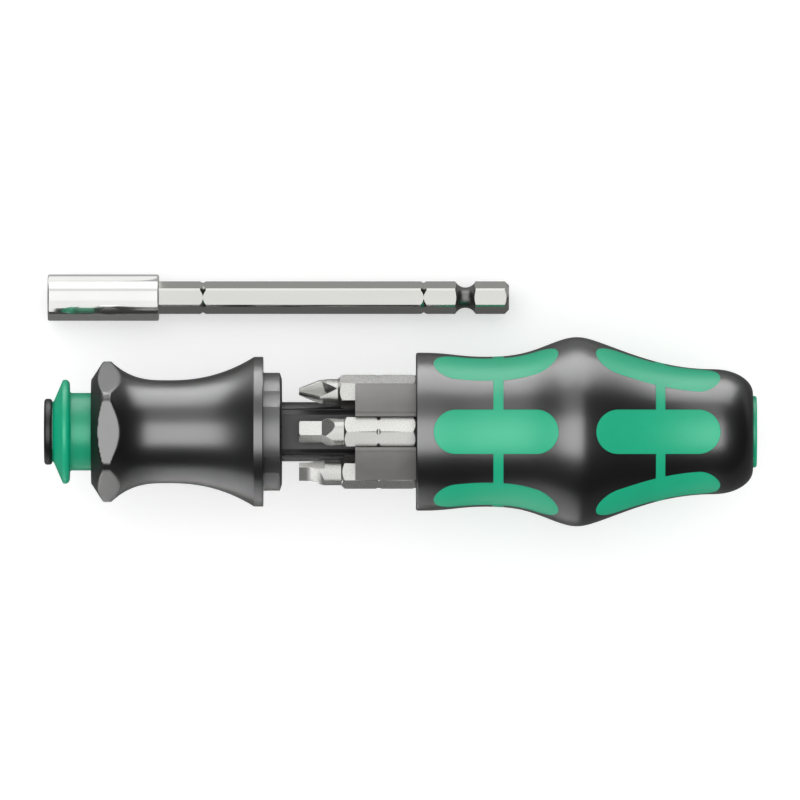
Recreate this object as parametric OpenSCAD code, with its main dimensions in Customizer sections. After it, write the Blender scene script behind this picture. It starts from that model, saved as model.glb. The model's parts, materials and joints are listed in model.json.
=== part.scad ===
// Bit holder screwdriver with a pull-out bit magazine and a loose two-length blade.
// The tool lies along X with its nose at the left and its magazine pulled out.
// The origin is the centre of the blade mouth, +Z is up and +Y points to the loose blade.
// All sizes are in millimetres.

/* [Bits] */
// Size across the flats of a bit's hexagon and of the blade's shaft
bit_af = 6.35; // [6.0:0.05:6.5]
// Length of one bit
bit_len = 25; // [22:0.5:27]
// Length of the hexagon behind the slotted and the six-lobe bit's neck
bit_hex_len = 16; // [15.5:0.1:16.5]
// Length of the hexagon behind a cross bit's neck
cross_hex_len = 16.7; // [16:0.1:16.7]
// Length of the hexagon behind the square and the hexagon bit's neck
square_hex_len = 15.4; // [15:0.1:16.5]
// Chamfer at both ends of a bit's hexagon
bit_chamfer = 0.5; // [0.2:0.1:0.8]
// Distance of the corner notches from a bit's back end
bit_notch_x = 7.9; // [6:0.1:10]
// Depth of the corner notches
bit_notch_d = 0.35; // [0.2:0.05:0.45]
// Neck radius of the cross point bits
cross_neck_r = 2.72; // [2.4:0.02:3.0]
// Radius of the flat on a cross point's end
cross_tip_r = 0.75; // [0.5:0.05:1.0]
// Length of a cross point's cone
cross_cone_l = 4.5; // [3.5:0.1:6]
// Length of a cross point's flutes
cross_flute_l = 8.2; // [6.5:0.1:8.2]
// Distance of a flute's bottom from the axis at the cross point's end
flute_r0 = 0.62; // [0.5:0.02:0.74]
// Distance of a flute's bottom from the axis where its run-out starts
flute_r1 = 0.75; // [0.7:0.05:1.4]
// Thickness of the thin ribs between the wings of the ribbed cross
rib_t = 0.36; // [0.3:0.02:0.5]
// Reach of the thin ribs as a share of the wings
rib_reach = 0.72; // [0.6:0.02:0.85]
// Neck radius of the square bit
square_neck_r = 3.0; // [2.8:0.05:3.1]
// Width of the square point
square_w = 3.45; // [3.0:0.05:3.8]
// Neck radius of the slotted bit
slot_neck_r = 2.9; // [2.8:0.05:3.1]
// Thickness of the slotted bit's edge
slot_tip_t = 1.2; // [0.8:0.1:1.6]
// Width of the slotted bit's edge
slot_tip_w = 5.5; // [4.5:0.1:5.7]
// Size across the flats of the hexagon point
hex_tip_af = 4.0; // [3:0.1:4.5]
// Outer radius of the six-lobe point
lobe_tip_r = 1.95; // [1.7:0.05:2.2]
// Length of the straight part of a square, hexagon or six-lobe point
tip_l = 4.9; // [4:0.1:5.5]
// Length over which the square point's faces run out
square_rise_l = 2.8; // [2:0.1:3.5]
// Length of the slotted bit's flat edge
slot_flat_l = 1.6; // [1:0.1:3]
// Length over which the slotted bit's ground faces rise
slot_rise_l = 3.9; // [3:0.1:4.5]

/* [Chuck] */
// Radius of the round lead-in that takes the blade
mouth_r_in = 3.8; // [3.75:0.05:4.2]
// Depth of the round lead-in
mouth_l = 4.5; // [3.5:0.1:5.5]
// Play between a hexagon and the passage round it, on each side
hex_play = 0.1; // [0.05:0.01:0.2]
// Outer radius of the chuck body
chuck_r = 6.0; // [5.7:0.1:6.3]
// Radius of the chuck's rear block, which is moulded into the grip
chuck_block_r = 8.2; // [7.5:0.1:8.6]
// Length of the chuck's rear block
chuck_block_l = 12; // [8:0.5:16]
// Distance of the locking balls behind the mouth
lock_x = 9.0; // [8.5:0.1:9.4]
// Radius of a locking ball
ball_r = 1.5; // [1.3:0.05:1.6]
// Outer radius of the black ring on the nose
ring_r = 7.1; // [6.6:0.1:7.6]
// Width of the black ring on the nose
ring_w = 1.75; // [1.5:0.05:2.2]

/* [Lock collar] */
// Radius of the collar's rim
collar_r = 11.2; // [10:0.1:12]
// Radius of the collar's front edge
collar_front_r = 6.7; // [6.5:0.1:7.5]
// Length of the collar's cone and rim
collar_flange_l = 3.7; // [3.2:0.1:4]
// Radius of the collar's neck, which slides in the grip
collar_neck_r = 8.35; // [8.2:0.05:8.6]
// Length of the collar's neck
collar_neck_l = 9.0; // [8.6:0.1:9.4]
// How far the collar slides back to free the blade
collar_travel = 3.2; // [2.8:0.1:3.3]

/* [Front grip] */
// Distance of the grip's front face from the blade mouth
grip_x0 = 10.1; // [9.6:0.1:11]
// Length of the front grip
grip_len = 37.0; // [34:0.5:42]
// Radius of the grip's front face
grip_face_r = 11.4; // [10.5:0.1:12]
// Radius of the grip's front rim
grip_front_r = 15.1; // [14.5:0.1:15.4]
// Size across the six flats that stop the tool rolling away
grip_af = 27; // [26.4:0.1:28]
// Radius of the grip's waist
grip_waist_r = 11.08; // [10.9:0.02:12]
// Radius of the grip's rear rim
grip_rear_r = 16.1; // [15.5:0.1:16.8]

/* [Magazine] */
// How far the magazine pulls out of the handle
pull_out = 32.7; // [31.5:0.1:33]
// Radius of the splined stub behind the front grip
stub_r = 12.8; // [12.5:0.1:13]
// Length of the splined stub
stub_len = 4.0; // [3:0.1:4.5]
// Radius of the core tube between the bits
core_r = 6.38; // [6.3:0.02:6.5]
// Length of the bit rack in front of its end disc
rack_len = 13.0; // [10:0.1:15]
// Outer radius of the bit rack
rack_r = 13.3; // [13.2:0.05:13.4]
// Sideways distance of the side bits from the axis
side_bit_y = 8.6; // [8.5:0.05:8.7]
// Height of the side bits above the axis
side_bit_z = 4.97; // [4.9:0.02:5.1]
// Height of the top bit above the axis
top_bit_z = 9.6; // [9.5:0.05:9.65]
// Play between a bit and its slot in the rack
slot_play = 0.12; // [0.08:0.01:0.15]
// Width of the level land on each side of the top slot
slot_land = 1.0; // [0.5:0.1:1.4]
// Thickness of the rack's end disc
disc_w = 4.1; // [4.1:0.1:5]
// Radius of the rack's end disc
disc_r = 13.5; // [13.4:0.05:13.6]
// Radius of the tail pin
tail_r = 2.5; // [2:0.1:2.7]

/* [Handle] */
// Length of the handle without its end button
handle_len = 72.5; // [72:0.5:78]
// Radius of the handle at its mouth
mouth_r = 17.0; // [16.8:0.1:18]
// Radius of the handle's front waist
waist_r = 16.13; // [16.1:0.02:17]
// Distance of the front waist behind the mouth
waist_s = 14.1; // [12:0.1:18]
// Radius of the handle's bulge
bulge_r = 20.35; // [19:0.05:22]
// Distance of the bulge behind the mouth
bulge_s = 34.8; // [32:0.1:38]
// Radius of the handle's slim rear end
rear_r = 13.44; // [13:0.02:15]
// Distance of the slim rear end behind the mouth
rear_s = 64.1; // [60:0.1:64.5]
// Radius of the handle's end face
end_r = 8.2; // [8.2:0.1:9]
// Thickness of the black skin over the green core
skin_t = 1.2; // [0.9:0.05:1.3]
// Radius of the cavity that takes the magazine
cavity_r = 13.8; // [13.7:0.05:13.9]
// Length of one green pad
pad_len = 26.7; // [22:0.1:28]
// Width of one green pad
pad_w = 9.5; // [8:0.1:11]
// Number of green pads in one set
pad_count = 6; // [4:1:6]
// Distance of the front pads' middle behind the mouth
front_pad_s = 17.2; // [16:0.1:18]
// Distance of the rear pads' middle behind the mouth
rear_pad_s = 52.0; // [49:0.1:53]
// Width of the green ring that joins the front pads
front_ring_w = 2.15; // [1:0.05:4]
// Width of the green ring that joins the rear pads
rear_ring_w = 2.0; // [1:0.05:4]
// Distance of each green ring behind its pads' middle
ring_shift = 0.5; // [0:0.1:2]
// Distance of the magazine's clip in front of the handle's end face
clip_back = 9.7; // [9.4:0.1:10.4]

/* [End button] */
// Radius of the button's cap
button_r = 7.7; // [7:0.1:7.8]
// How far the button stands out of the handle
button_proud = 0.8; // [0.5:0.1:1.5]
// How far the button can be pressed
button_travel = 1.2; // [0.6:0.1:1.4]

/* [Blade] */
// Sideways distance of the loose blade from the tool's axis
blade_y = 28.9; // [26:0.1:36]
// Distance of the blade's front end from the tool's blade mouth
blade_x0 = 0.5; // [0:0.1:5]
// Overall length of the blade
blade_len = 99.5; // [90:0.5:110]
// Outer radius of the bit socket's sleeve
sleeve_r = 5.0; // [4.6:0.1:6]
// Length of the sleeve
sleeve_len = 24; // [20:0.5:30]
// Depth of the bit socket
socket_d = 10; // [8:0.5:11]
// Thickness of the magnet
magnet_l = 3; // [2:0.5:4]
// Radius of the magnet
magnet_r = 2.6; // [2:0.1:2.8]
// Size across the shaft's rounded corners
shaft_corner_d = 7.05; // [6.9:0.05:7.2]
// Distances of the two rows of lock notches from the tail end
near_notch = 18.4; // [17:0.1:20]
// Distance of the far lock notches from the tail end
far_notch = 66.0; // [60:0.1:66]
// Distance of the shank groove from the tail end
groove_s = 9.4; // [9:0.1:10]
// Half the width of the shank groove
groove_half = 2.2; // [1.8:0.1:2.5]
// Radius at the bottom of the shank groove
groove_r = 2.2; // [2:0.05:2.6]

/* [Fits] */
// Gap between faces that meet without moving
seat_gap = 0.05; // [0.02:0.01:0.1]
// Gap between faces that slide or stop on each other
slide_gap = 0.1; // [0.06:0.01:0.2]

/* [Hidden] */
$fn = 96;

// A cut reaches this far past the face that it opens
over = 1;
// Radius of a small rounded edge
edge_r = 0.5;
// Steps in a rounded edge and in a quarter of a dome
edge_steps = 4;
dome_steps = 8;
// Length of one step along a curved outline
outline_step = 1.6;
// Straight steps in one turn of wound wire, and the sides of its section
coil_steps = 16;
coil_sides = 6;

// Chuck and lock collar, from the nose backwards
ring_seat_d = 0.6;
ring_bead_d = 0.3;
ring_step_r = chuck_r - ring_seat_d;
ring_bead_r = ring_step_r - ring_bead_d;
ring_bead_w = 0.7;
ring_bead_x0 = (ring_w - ring_bead_w) / 2;
ring_bead_x1 = (ring_w + ring_bead_w) / 2;
ring_edge_r = 0.6;
collar_x0 = ring_w + seat_gap;
collar_rim_x = collar_x0 + collar_flange_l;
collar_x1 = collar_rim_x + collar_neck_l;
collar_rim_w = 1.0;
collar_rim_turn = 122;
collar_edge = 0.3;
collar_lip_l = 1.4;
collar_wall = 0.8;
land_half = 1.3;
land_r = chuck_r + 0.15;
relief_d = 0.55;
relief_slope_l = 0.6;
relief_r = land_r + relief_d;
relief_x1 = lock_x - land_half;
ball_y = land_r - seat_gap - ball_r;
pocket_r = collar_neck_r - collar_wall;
pocket_x0 = lock_x + land_half + 0.3;
chuck_block_x0 = collar_x1 + collar_travel + 0.3;
chuck_x1 = chuck_block_x0 + chuck_block_l;
flat_key_d = 0.9;
collar_wire_r = 0.35;
collar_coils = 4;

// Front grip
grip_x1 = grip_x0 + grip_len;
grip_rim_x = grip_x0 + 2.3;
grip_rim_w = 2.0;
grip_waist_x0 = grip_x0 + 15.9;
grip_waist_x1 = grip_x0 + 16.9;
grip_rear_rim_w = 2.0;
grip_face_edge = 0.15;
front_lean = 2.7;
rear_lean = 2.25;
spigot_r = 8.6;

// Magazine, set out from the handle's mouth, where it stops when it is pulled out
handle_x0 = grip_x1 + pull_out + slide_gap;
lip_w = 0.8;
key_l = 1.6;
key_half = 1.4;
key_y = 12.3;
key_play = 0.2;
key_x1 = handle_x0 + lip_w + key_l;
stop_x = key_x1 + slide_gap;
stop_rim_w = 1.6;
disc_x1 = stop_x + stop_rim_w;
disc_x0 = disc_x1 - disc_w;
rack_x0 = disc_x0 - rack_len;
bit_x1 = disc_x0 - slide_gap;
bit_x0 = bit_x1 - bit_len;
stub_x1 = grip_x1 + stub_len;
stub_chamfer_l = 0.45;
stub_chamfer_d = 1.5;
core_x1 = disc_x0 - seat_gap;
passage_r = mouth_r_in + seat_gap;
passage_wall = 1.5;
passage_x1 = core_x1 - passage_wall;
recess_r = core_r + 2.2;
recess_d = 2.2;
core_side_af = core_r * cos(15);
core_top_z = core_r * cos(35);
groove_y = 4.77;
groove_w = 0.35;
groove_z = 3.6;
valley_r = 11.7;
valley_d = 0.35;
valley_turn = 34;
fin_y = key_y - key_play;
keyway_half = key_half + key_play;
tail_root_x = disc_x0 + 1.0;
tail_root_r = 1.5;
tail_tip_l = 2.0;
tail_groove_r = 1.7;
tail_groove_w = 1.4;
tail_end_l = 4.0;

// Handle, from its mouth backwards
handle_x1 = handle_x0 + handle_len;
mouth_flat = 2.4;
waist_lean = 1.55;
bulge_lean = 0.69;
dome_l = handle_len - rear_s;
cavity_x1 = disc_x1 + pull_out + 2.3;
housing_r = 9.1;
housing_bore_r = housing_r + slide_gap;
clip_x = handle_x1 - clip_back;
tail_groove_x = clip_x - pull_out;
housing_front_l = 6.0;
housing_back_l = 3.5;
housing_x0 = clip_x - housing_front_l;
housing_x1 = clip_x + housing_back_l;
housing_hole_r = tail_r + 0.5;
housing_lead = 2.0;
clip_t = 1.0;
clip_bar = 1.0;
clip_gap = tail_groove_r + slide_gap;
clip_z0 = -6.0;
clip_z1 = 6.5;
end_skin = 1.0;
cap_x1 = handle_x1 + button_proud;
end_lip_w = 2.0;
flange_w = 1.2;
flange_x1 = handle_x1 - end_lip_w - seat_gap;
flange_x0 = flange_x1 - flange_w;
flange_r = button_r + 1.0;
chamber_r = flange_r + slide_gap;
cap_t = 1.7;
cup_x = cap_x1 - cap_t;
cup_r = button_r - 0.6;
button_wire_r = 0.35;
button_coils = 4;
button_spring_r = cup_r - slide_gap - button_wire_r;
wedge_x0 = clip_x + clip_t / 2 + slide_gap;
wedge_l = button_travel + 2 * slide_gap;
wedge_thin = clip_gap - 0.4;
wedge_thick = tail_r + 0.4;
wedge_z0 = tail_r + 0.6;
wedge_z1 = button_spring_r - 1.6;

// Bits: how far each point is turned on its hexagon
cross_turn = -15;
square_turn = 32;
slot_turn = 58;

// Bits: small chamfers, the cone in front of the hexagon and the wheels that cut the notches and flutes
point_edge = 0.35;
bit_step = 0.05;
bit_cone_run = 1.0;
notch_wheel = 0.57;
flute_wall = 46;
flute_depth = 16;
flute_bend = 0.67;
run_out_l = 0.3;
lobe_cut_at = 1.14;
lobe_cut_share = 0.36;

// Loose blade, lying on the surface that the handle's bulge rests on
blade_z = sleeve_r - bulge_r;
blade_x1 = blade_x0 + blade_len;
sleeve_x1 = blade_x0 + sleeve_len;
magnet_x0 = blade_x0 + socket_d;
shaft_x0 = magnet_x0 + magnet_l + seat_gap;
lock_notch_half = 0.7;
lock_notch_d = 0.35;
notch_over = 0.1;
shaft_chamfer = 0.9;
sleeve_edge = 0.4;

// Rounded quarter from one angle to another, for the corner of an outline
function arc(centre, r, from, to, steps) =
    [for (i = [0:steps]) let (a = from + (to - from) * i / steps)
        [centre[0] + r * cos(a), centre[1] + r * sin(a)]];

// Smooth step from 0 to 1: a lean over 1 keeps it low for longer
function eased(t, lean) = (1 - cos(180 * pow(t, lean))) / 2;

// Places along a curve, spaced evenly near the outline step
function places(from, to) =
    let (n = ceil((to - from) / outline_step)) [for (i = [1:n]) from + (to - from) * i / n];

// Handle radius at a distance s behind the mouth, up to the dome at its end
function handle_r(s) =
    s <= mouth_flat ? mouth_r
    : s <= waist_s ? mouth_r + (waist_r - mouth_r) * eased((s - mouth_flat) / (waist_s - mouth_flat), 1)
    : s <= bulge_s ? waist_r + (bulge_r - waist_r) * eased((s - waist_s) / (bulge_s - waist_s), waist_lean)
    : bulge_r + (rear_r - bulge_r) * eased((s - bulge_s) / (rear_s - bulge_s), bulge_lean);

// Half outline of the handle as distance and radius, drawn in by an inset
function handle_outline(inset) = concat(
    [[handle_x0, 0]],
    [for (p = arc([handle_x0 + edge_r, mouth_r - edge_r], edge_r, 180, 90, edge_steps))
        [p[0], p[1] - inset]],
    [for (s = concat(places(edge_r, mouth_flat), places(mouth_flat, waist_s),
                     places(waist_s, bulge_s), places(bulge_s, rear_s)))
        [handle_x0 + s, handle_r(s) - inset]],
    [for (i = [1:dome_steps]) let (a = 90 * i / dome_steps)
        [handle_x0 + rear_s + dome_l * sin(a), end_r + (rear_r - end_r) * cos(a) - inset]],
    [[handle_x1, 0]]
);

// Grip radius along the concave waist
function grip_waist(x) =
    x < grip_waist_x0
    ? grip_waist_r + (grip_front_r - grip_waist_r)
        * pow((grip_waist_x0 - x) / (grip_waist_x0 - grip_rim_x - grip_rim_w), front_lean)
    : x < grip_waist_x1 ? grip_waist_r
    : grip_waist_r + (grip_rear_r - grip_waist_r)
        * pow((x - grip_waist_x1) / (grip_x1 - grip_rear_rim_w - grip_waist_x1), rear_lean);

// Half outline of the front grip
grip_outline = concat(
    [[grip_x0, 0], [grip_x0, grip_face_r - edge_r]],
    [[grip_x0 + grip_face_edge, grip_face_r]],
    arc([grip_rim_x + edge_r, grip_front_r - edge_r], edge_r, 150, 90, edge_steps),
    [for (x = concat([grip_rim_x + grip_rim_w], places(grip_rim_x + grip_rim_w, grip_waist_x0),
                     [grip_waist_x1],
                     places(grip_waist_x1, grip_x1 - grip_rear_rim_w))) [x, grip_waist(x)]],
    arc([grip_x1 - edge_r, grip_rear_r - edge_r], edge_r, 90, 0, edge_steps),
    [[grip_x1, 0]]
);

// Turned solid round X from a half outline of distance and radius
module turned(outline) {
    rotate([0, 90, 0])
        rotate_extrude()
            polygon([for (p = outline) [p[1], p[0]]]);
}

// Round bar or bore along X
module bar(x0, x1, r) {
    translate([x0, 0, 0])
        rotate([0, 90, 0])
            cylinder(h = x1 - x0, r = r);
}

// Hexagonal bar along X with two flats facing up and down
module hex_bar(x0, x1, af) {
    translate([x0, 0, 0])
        rotate([90, 0, 90])
            cylinder(h = x1 - x0, r = af / 2 / cos(30), $fn = 6);
}

// Carries a flat section in Y and Z along X
module drawn(x0, x1) {
    translate([x0, 0, 0])
        rotate([90, 0, 90])
            linear_extrude(x1 - x0)
                children();
}

// Wound wire as one swept tube round X, closed at both ends
module wound_wire(x0, x1, r, wire_r, coils) {
    steps = coils * coil_steps;
    sides = coil_sides;
    pitch = (x1 - x0 - 2 * wire_r) / coils;
    tilt = atan(pitch / (2 * PI * r));
    points = [for (i = [0:steps], j = [0:sides - 1])
        let (a = 360 * i / coil_steps, b = 360 * j / sides,
             radial = r + wire_r * cos(b), lift = wire_r * sin(b))
        [x0 + wire_r + pitch * i / coil_steps + lift * cos(tilt),
         radial * cos(a) + lift * sin(tilt) * sin(a),
         radial * sin(a) - lift * sin(tilt) * cos(a)]];
    sleeve = [for (i = [0:steps - 1], j = [0:sides - 1], k = [0, 1])
        let (n = (j + 1) % sides, p = i * sides, q = (i + 1) * sides)
        k == 0 ? [p + j, p + n, q + n] : [p + j, q + n, q + j]];
    caps = [[for (j = [sides - 1:-1:0]) j], [for (j = [0:sides - 1]) steps * sides + j]];
    polyhedron(points, concat(sleeve, caps), convexity = 6);
}

// Outline of one pad, a bar with two round ends, standing out from the axis
module pad_prism(middle_s, turn, grow) {
    reach = bulge_r + over;
    rotate([turn, 0, 0])
        translate([handle_x0 + middle_s, 0, 0])
            linear_extrude(reach)
                union() {
                    square([pad_len - pad_w, pad_w + 2 * grow], center = true);
                    for (side = [-1, 1])
                        translate([side * (pad_len - pad_w) / 2, 0])
                            circle(r = pad_w / 2 + grow);
                }
}

// Everything that shows green on the handle's side, as a cutter or a mask
module green_zones(grow) {
    for (set = [[front_pad_s, front_ring_w], [rear_pad_s, rear_ring_w]]) {
        for (i = [0:pad_count - 1])
            pad_prism(set[0], i * 360 / pad_count, grow);
        bar(handle_x0 + set[0] + ring_shift - set[1] / 2 - grow,
            handle_x0 + set[0] + ring_shift + set[1] / 2 + grow, bulge_r + over);
    }
}

// Inside form that the skin is moulded over
module core_form(grow) {
    intersection() {
        turned(handle_outline(skin_t - grow));
        bar(handle_x0 + lip_w - grow, handle_x1 - end_skin + grow, bulge_r);
    }
}

module handle_skin() {
    color("#1b1b1c")
        difference() {
            turned(handle_outline(0));
            core_form(seat_gap);
            bar(handle_x0 - over, handle_x0 + lip_w, cavity_r);
            bar(handle_x1 - end_skin, handle_x1 + over, button_r + slide_gap);
            green_zones(seat_gap);
        }
}

module handle_core() {
    color("#17b07c")
        union() {
            difference() {
                union() {
                    core_form(0);
                    intersection() {
                        turned(handle_outline(0));
                        green_zones(0);
                    }
                }
                bar(handle_x0 + lip_w - over, cavity_x1, cavity_r);
                turned([[cavity_x1 - over, 0], [cavity_x1 - over, cavity_r], [cavity_x1, cavity_r],
                        [cavity_x1 + cavity_r - housing_bore_r, housing_bore_r],
                        [cavity_x1 + cavity_r - housing_bore_r, 0]]);
                bar(cavity_x1, housing_x1 + seat_gap, housing_bore_r);
                bar(housing_x1, flange_x1 + seat_gap, chamber_r);
                bar(flange_x1, handle_x1 + over, button_r + slide_gap);
            }
            for (side = [0, 1])
                mirror([0, side, 0])
                    translate([handle_x0 + lip_w, key_y, -key_half])
                        cube([key_l, cavity_r - key_y + skin_t / 2, 2 * key_half]);
        }
}

// Insert at the rear of the handle, which carries the clip and the button's spring
module latch_housing() {
    slot_half = clip_gap + clip_bar + seat_gap;
    wedge_half = wedge_thick + slide_gap;
    pocket_front_x = wedge_x0 - button_travel - slide_gap;
    color("#2a2a2c")
        difference() {
            bar(housing_x0, housing_x1, housing_r);
            bar(housing_x0 - over, housing_x1 + over, housing_hole_r);
            turned([[housing_x0 - over, 0], [housing_x0 - over, housing_hole_r + housing_lead + over],
                    [housing_x0 + housing_lead, housing_hole_r], [housing_x0 + housing_lead, 0]]);
            translate([clip_x - clip_t / 2 - seat_gap, -slot_half, clip_z0 - slot_half])
                cube([clip_t + 2 * seat_gap, 2 * slot_half, 2 * housing_r]);
            translate([pocket_front_x, -wedge_half, tail_r])
                cube([housing_x1 - pocket_front_x + over, 2 * wedge_half, wedge_z1 + slide_gap - tail_r]);
        }
}

// Flat steel clip with two legs that close on the tail pin's groove
module latch_clip() {
    outer = clip_gap + clip_bar;
    color("#c9ccd0")
        translate([clip_x - clip_t / 2, 0, 0])
            rotate([90, 0, 90])
                linear_extrude(clip_t)
                    difference() {
                        union() {
                            translate([-outer, clip_z0])
                                square([2 * outer, clip_z1 - clip_z0]);
                            translate([0, clip_z0])
                                intersection() {
                                    circle(r = outer);
                                    translate([-outer, -outer])
                                        square([2 * outer, outer + seat_gap]);
                                }
                        }
                        translate([-clip_gap, clip_z0])
                            square([2 * clip_gap, clip_z1 - clip_z0 + over]);
                        translate([0, clip_z0])
                            circle(r = clip_gap);
                    }
}

module button_spring() {
    color("#b9bcc0")
        wound_wire(housing_x1 + seat_gap, cup_x - seat_gap, button_spring_r, button_wire_r,
                   button_coils);
}

// Green push button whose wedge spreads the clip's legs
module end_button() {
    color("#1fb784")
        union() {
            turned(concat(
                [[cup_x, 0], [cup_x, cup_r], [flange_x0, cup_r], [flange_x0, flange_r],
                 [flange_x1, flange_r], [flange_x1, button_r]],
                arc([cap_x1 - edge_r, button_r - edge_r], edge_r, 90, 0, edge_steps),
                [[cap_x1, 0]]));
            translate([0, 0, wedge_z0])
                linear_extrude(wedge_z1 - wedge_z0)
                    polygon([[wedge_x0, -wedge_thin], [wedge_x0 + wedge_l, -wedge_thick],
                             [cup_x + over, -wedge_thick], [cup_x + over, wedge_thick],
                             [wedge_x0 + wedge_l, wedge_thick], [wedge_x0, wedge_thin]]);
        }
}

module grip_shell() {
    color("#1c1c1d")
        difference() {
            intersection() {
                turned(grip_outline);
                union() {
                    hex_bar(grip_x0 - over, grip_waist_x0, grip_af);
                    bar(grip_waist_x0 - over, grip_x1 + over, grip_rear_r + over);
                }
            }
            bar(grip_x0 - over, chuck_block_x0, collar_neck_r + slide_gap * 2);
            difference() {
                bar(chuck_block_x0 - over, chuck_x1 + seat_gap, chuck_block_r + seat_gap);
                for (side = [0, 1])
                    mirror([0, 0, side])
                        translate([chuck_block_x0, -chuck_block_r, chuck_block_r - flat_key_d])
                            cube([chuck_block_l + seat_gap, 2 * chuck_block_r, chuck_block_r]);
            }
            bar(chuck_x1, grip_x1 + over, spigot_r + seat_gap);
        }
}

// Outline of the core tube between the bits: a round bar with flats beside each bit
module core_section(grow) {
    intersection() {
        circle(r = core_r + grow);
        square([2 * (core_r + over), 2 * (core_top_z + grow)], center = true);
        for (turn = [-30, 30])
            rotate(turn)
                square([2 * (core_side_af + grow), 2 * (core_r + over)], center = true);
    }
}

module magazine_core() {
    color("#232325")
        difference() {
            union() {
                bar(chuck_x1 + seat_gap, grip_x1 + over, spigot_r);
                difference() {
                    turned([[grip_x1 + seat_gap, 0], [grip_x1 + seat_gap, stub_r],
                            [stub_x1 - stub_chamfer_l, stub_r], [stub_x1, stub_r - stub_chamfer_d],
                            [stub_x1, 0]]);
                    for (turn = [valley_turn, 180 - valley_turn, 180 + valley_turn, 360 - valley_turn])
                        rotate([turn, 0, 0])
                            translate([0, 0, stub_r - valley_d + valley_r])
                                bar(grip_x1 - over, stub_x1 + over, valley_r);
                    for (side = [0, 1])
                        mirror([0, side, 0])
                            translate([grip_x1 - over, fin_y, -keyway_half])
                                cube([stub_len + 2 * over, stub_r, 2 * keyway_half]);
                    bar(stub_x1 - recess_d, stub_x1 + over, recess_r);
                }
                drawn(grip_x1 + over, core_x1)
                    difference() {
                        core_section(0);
                        for (side = [0, 1], up = [0, 1])
                            mirror([side, 0])
                                mirror([0, up])
                                    translate([groove_y - groove_w / 2, groove_z])
                                        square([groove_w, core_r]);
                    }
            }
            bar(chuck_x1 - over, passage_x1, passage_r);
        }
}

// Slot for a side bit: the inner half of its hexagon, opened to the side
module side_slot() {
    half = bit_af / 2 + slot_play;
    corner = half / cos(30);
    translate([side_bit_y, side_bit_z])
        polygon([[-corner, 0], [-corner / 2, -half], [rack_r, -half], [rack_r, half], [-corner / 2, half]]);
}

// Slot for the top bit: walls as high as its flats, then a level land that is sunk into the rack
module top_slot() {
    half = bit_af / 2 + slot_play;
    corner = half / cos(30);
    land_z = top_bit_z + corner / 2;
    reach = half + slot_land;
    polygon([[0, top_bit_z - corner], [half, top_bit_z - corner / 2], [half, land_z],
             [reach, land_z], [reach, rack_r + over], [-reach, rack_r + over],
             [-reach, land_z], [-half, land_z], [-half, top_bit_z - corner / 2]]);
}

module rack_section() {
    difference() {
        circle(r = rack_r);
        core_section(seat_gap);
        for (side = [0, 1], up = [0, 1])
            mirror([side, 0])
                mirror([0, up])
                    side_slot();
        for (up = [0, 1])
            mirror([0, up])
                top_slot();
        for (side = [0, 1])
            mirror([side, 0])
                translate([fin_y, -rack_r])
                    square([rack_r, 2 * rack_r]);
    }
}

module bit_rack() {
    color("#6d6b69")
        difference() {
            union() {
                drawn(rack_x0, disc_x0)
                    rack_section();
                difference() {
                    bar(disc_x0, disc_x1, disc_r);
                    for (side = [0, 1])
                        mirror([0, side, 0])
                            translate([disc_x0 - over, fin_y, -keyway_half])
                                cube([stop_x - disc_x0 + over, disc_r, 2 * keyway_half]);
                }
            }
            bar(tail_root_x, disc_x1 + over, tail_root_r + seat_gap / 2);
        }
}

module tail_pin() {
    root_x = tail_root_x + seat_gap;
    shoulder_x = disc_x1 + seat_gap;
    end_x = tail_groove_x + tail_end_l;
    half_w = tail_groove_w / 2;
    color("#b4b8bd")
        turned([[root_x, 0], [root_x, tail_root_r], [shoulder_x, tail_root_r], [shoulder_x, tail_r],
                [tail_groove_x - 2 * half_w, tail_r], [tail_groove_x - half_w, tail_groove_r],
                [tail_groove_x + half_w, tail_groove_r], [tail_groove_x + half_w, tail_r],
                [end_x - tail_tip_l, tail_r], [end_x, tail_r / 2], [end_x, 0]]);
}

module chuck_body() {
    block_half_z = chuck_block_r - flat_key_d - seat_gap;
    color("#9fa3a8")
        difference() {
            union() {
                turned([[0, 0], [0, ring_step_r], [ring_bead_x0, ring_step_r], [ring_bead_x0, ring_bead_r],
                        [ring_bead_x1, ring_bead_r], [ring_bead_x1, ring_step_r], [ring_w, ring_step_r],
                        [ring_w, chuck_r], [chuck_block_x0, chuck_r], [chuck_block_x0, 0]]);
                intersection() {
                    bar(chuck_block_x0, chuck_x1, chuck_block_r);
                    translate([chuck_block_x0, -chuck_block_r, -block_half_z])
                        cube([chuck_block_l, 2 * chuck_block_r, 2 * block_half_z]);
                }
            }
            bar(-over, mouth_l, mouth_r_in);
            hex_bar(mouth_l - over, chuck_x1 + over, bit_af + 2 * hex_play);
            translate([lock_x, 0, 0])
                rotate([90, 0, 0])
                    cylinder(h = 2 * chuck_r + 2 * over, r = ball_r + seat_gap, center = true);
        }
}

module lock_balls() {
    color("#d8dadd")
        for (side = [-1, 1])
            translate([lock_x, side * ball_y, 0])
                sphere(r = ball_r);
}

// Rubber ring whose inner bead snaps into a groove of the chuck
module nose_ring() {
    inner_r = ring_step_r + seat_gap;
    color("#141414")
        turned(concat(
            [[0, inner_r]],
            arc([ring_edge_r, ring_r - ring_edge_r], ring_edge_r, 180, 90, edge_steps),
            arc([ring_w - ring_edge_r, ring_r - ring_edge_r], ring_edge_r, 90, 0, edge_steps),
            [[ring_w, inner_r], [ring_bead_x1 - seat_gap, inner_r],
             [ring_bead_x1 - seat_gap, ring_bead_r + seat_gap],
             [ring_bead_x0 + seat_gap, ring_bead_r + seat_gap], [ring_bead_x0 + seat_gap, inner_r]]));
}

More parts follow.
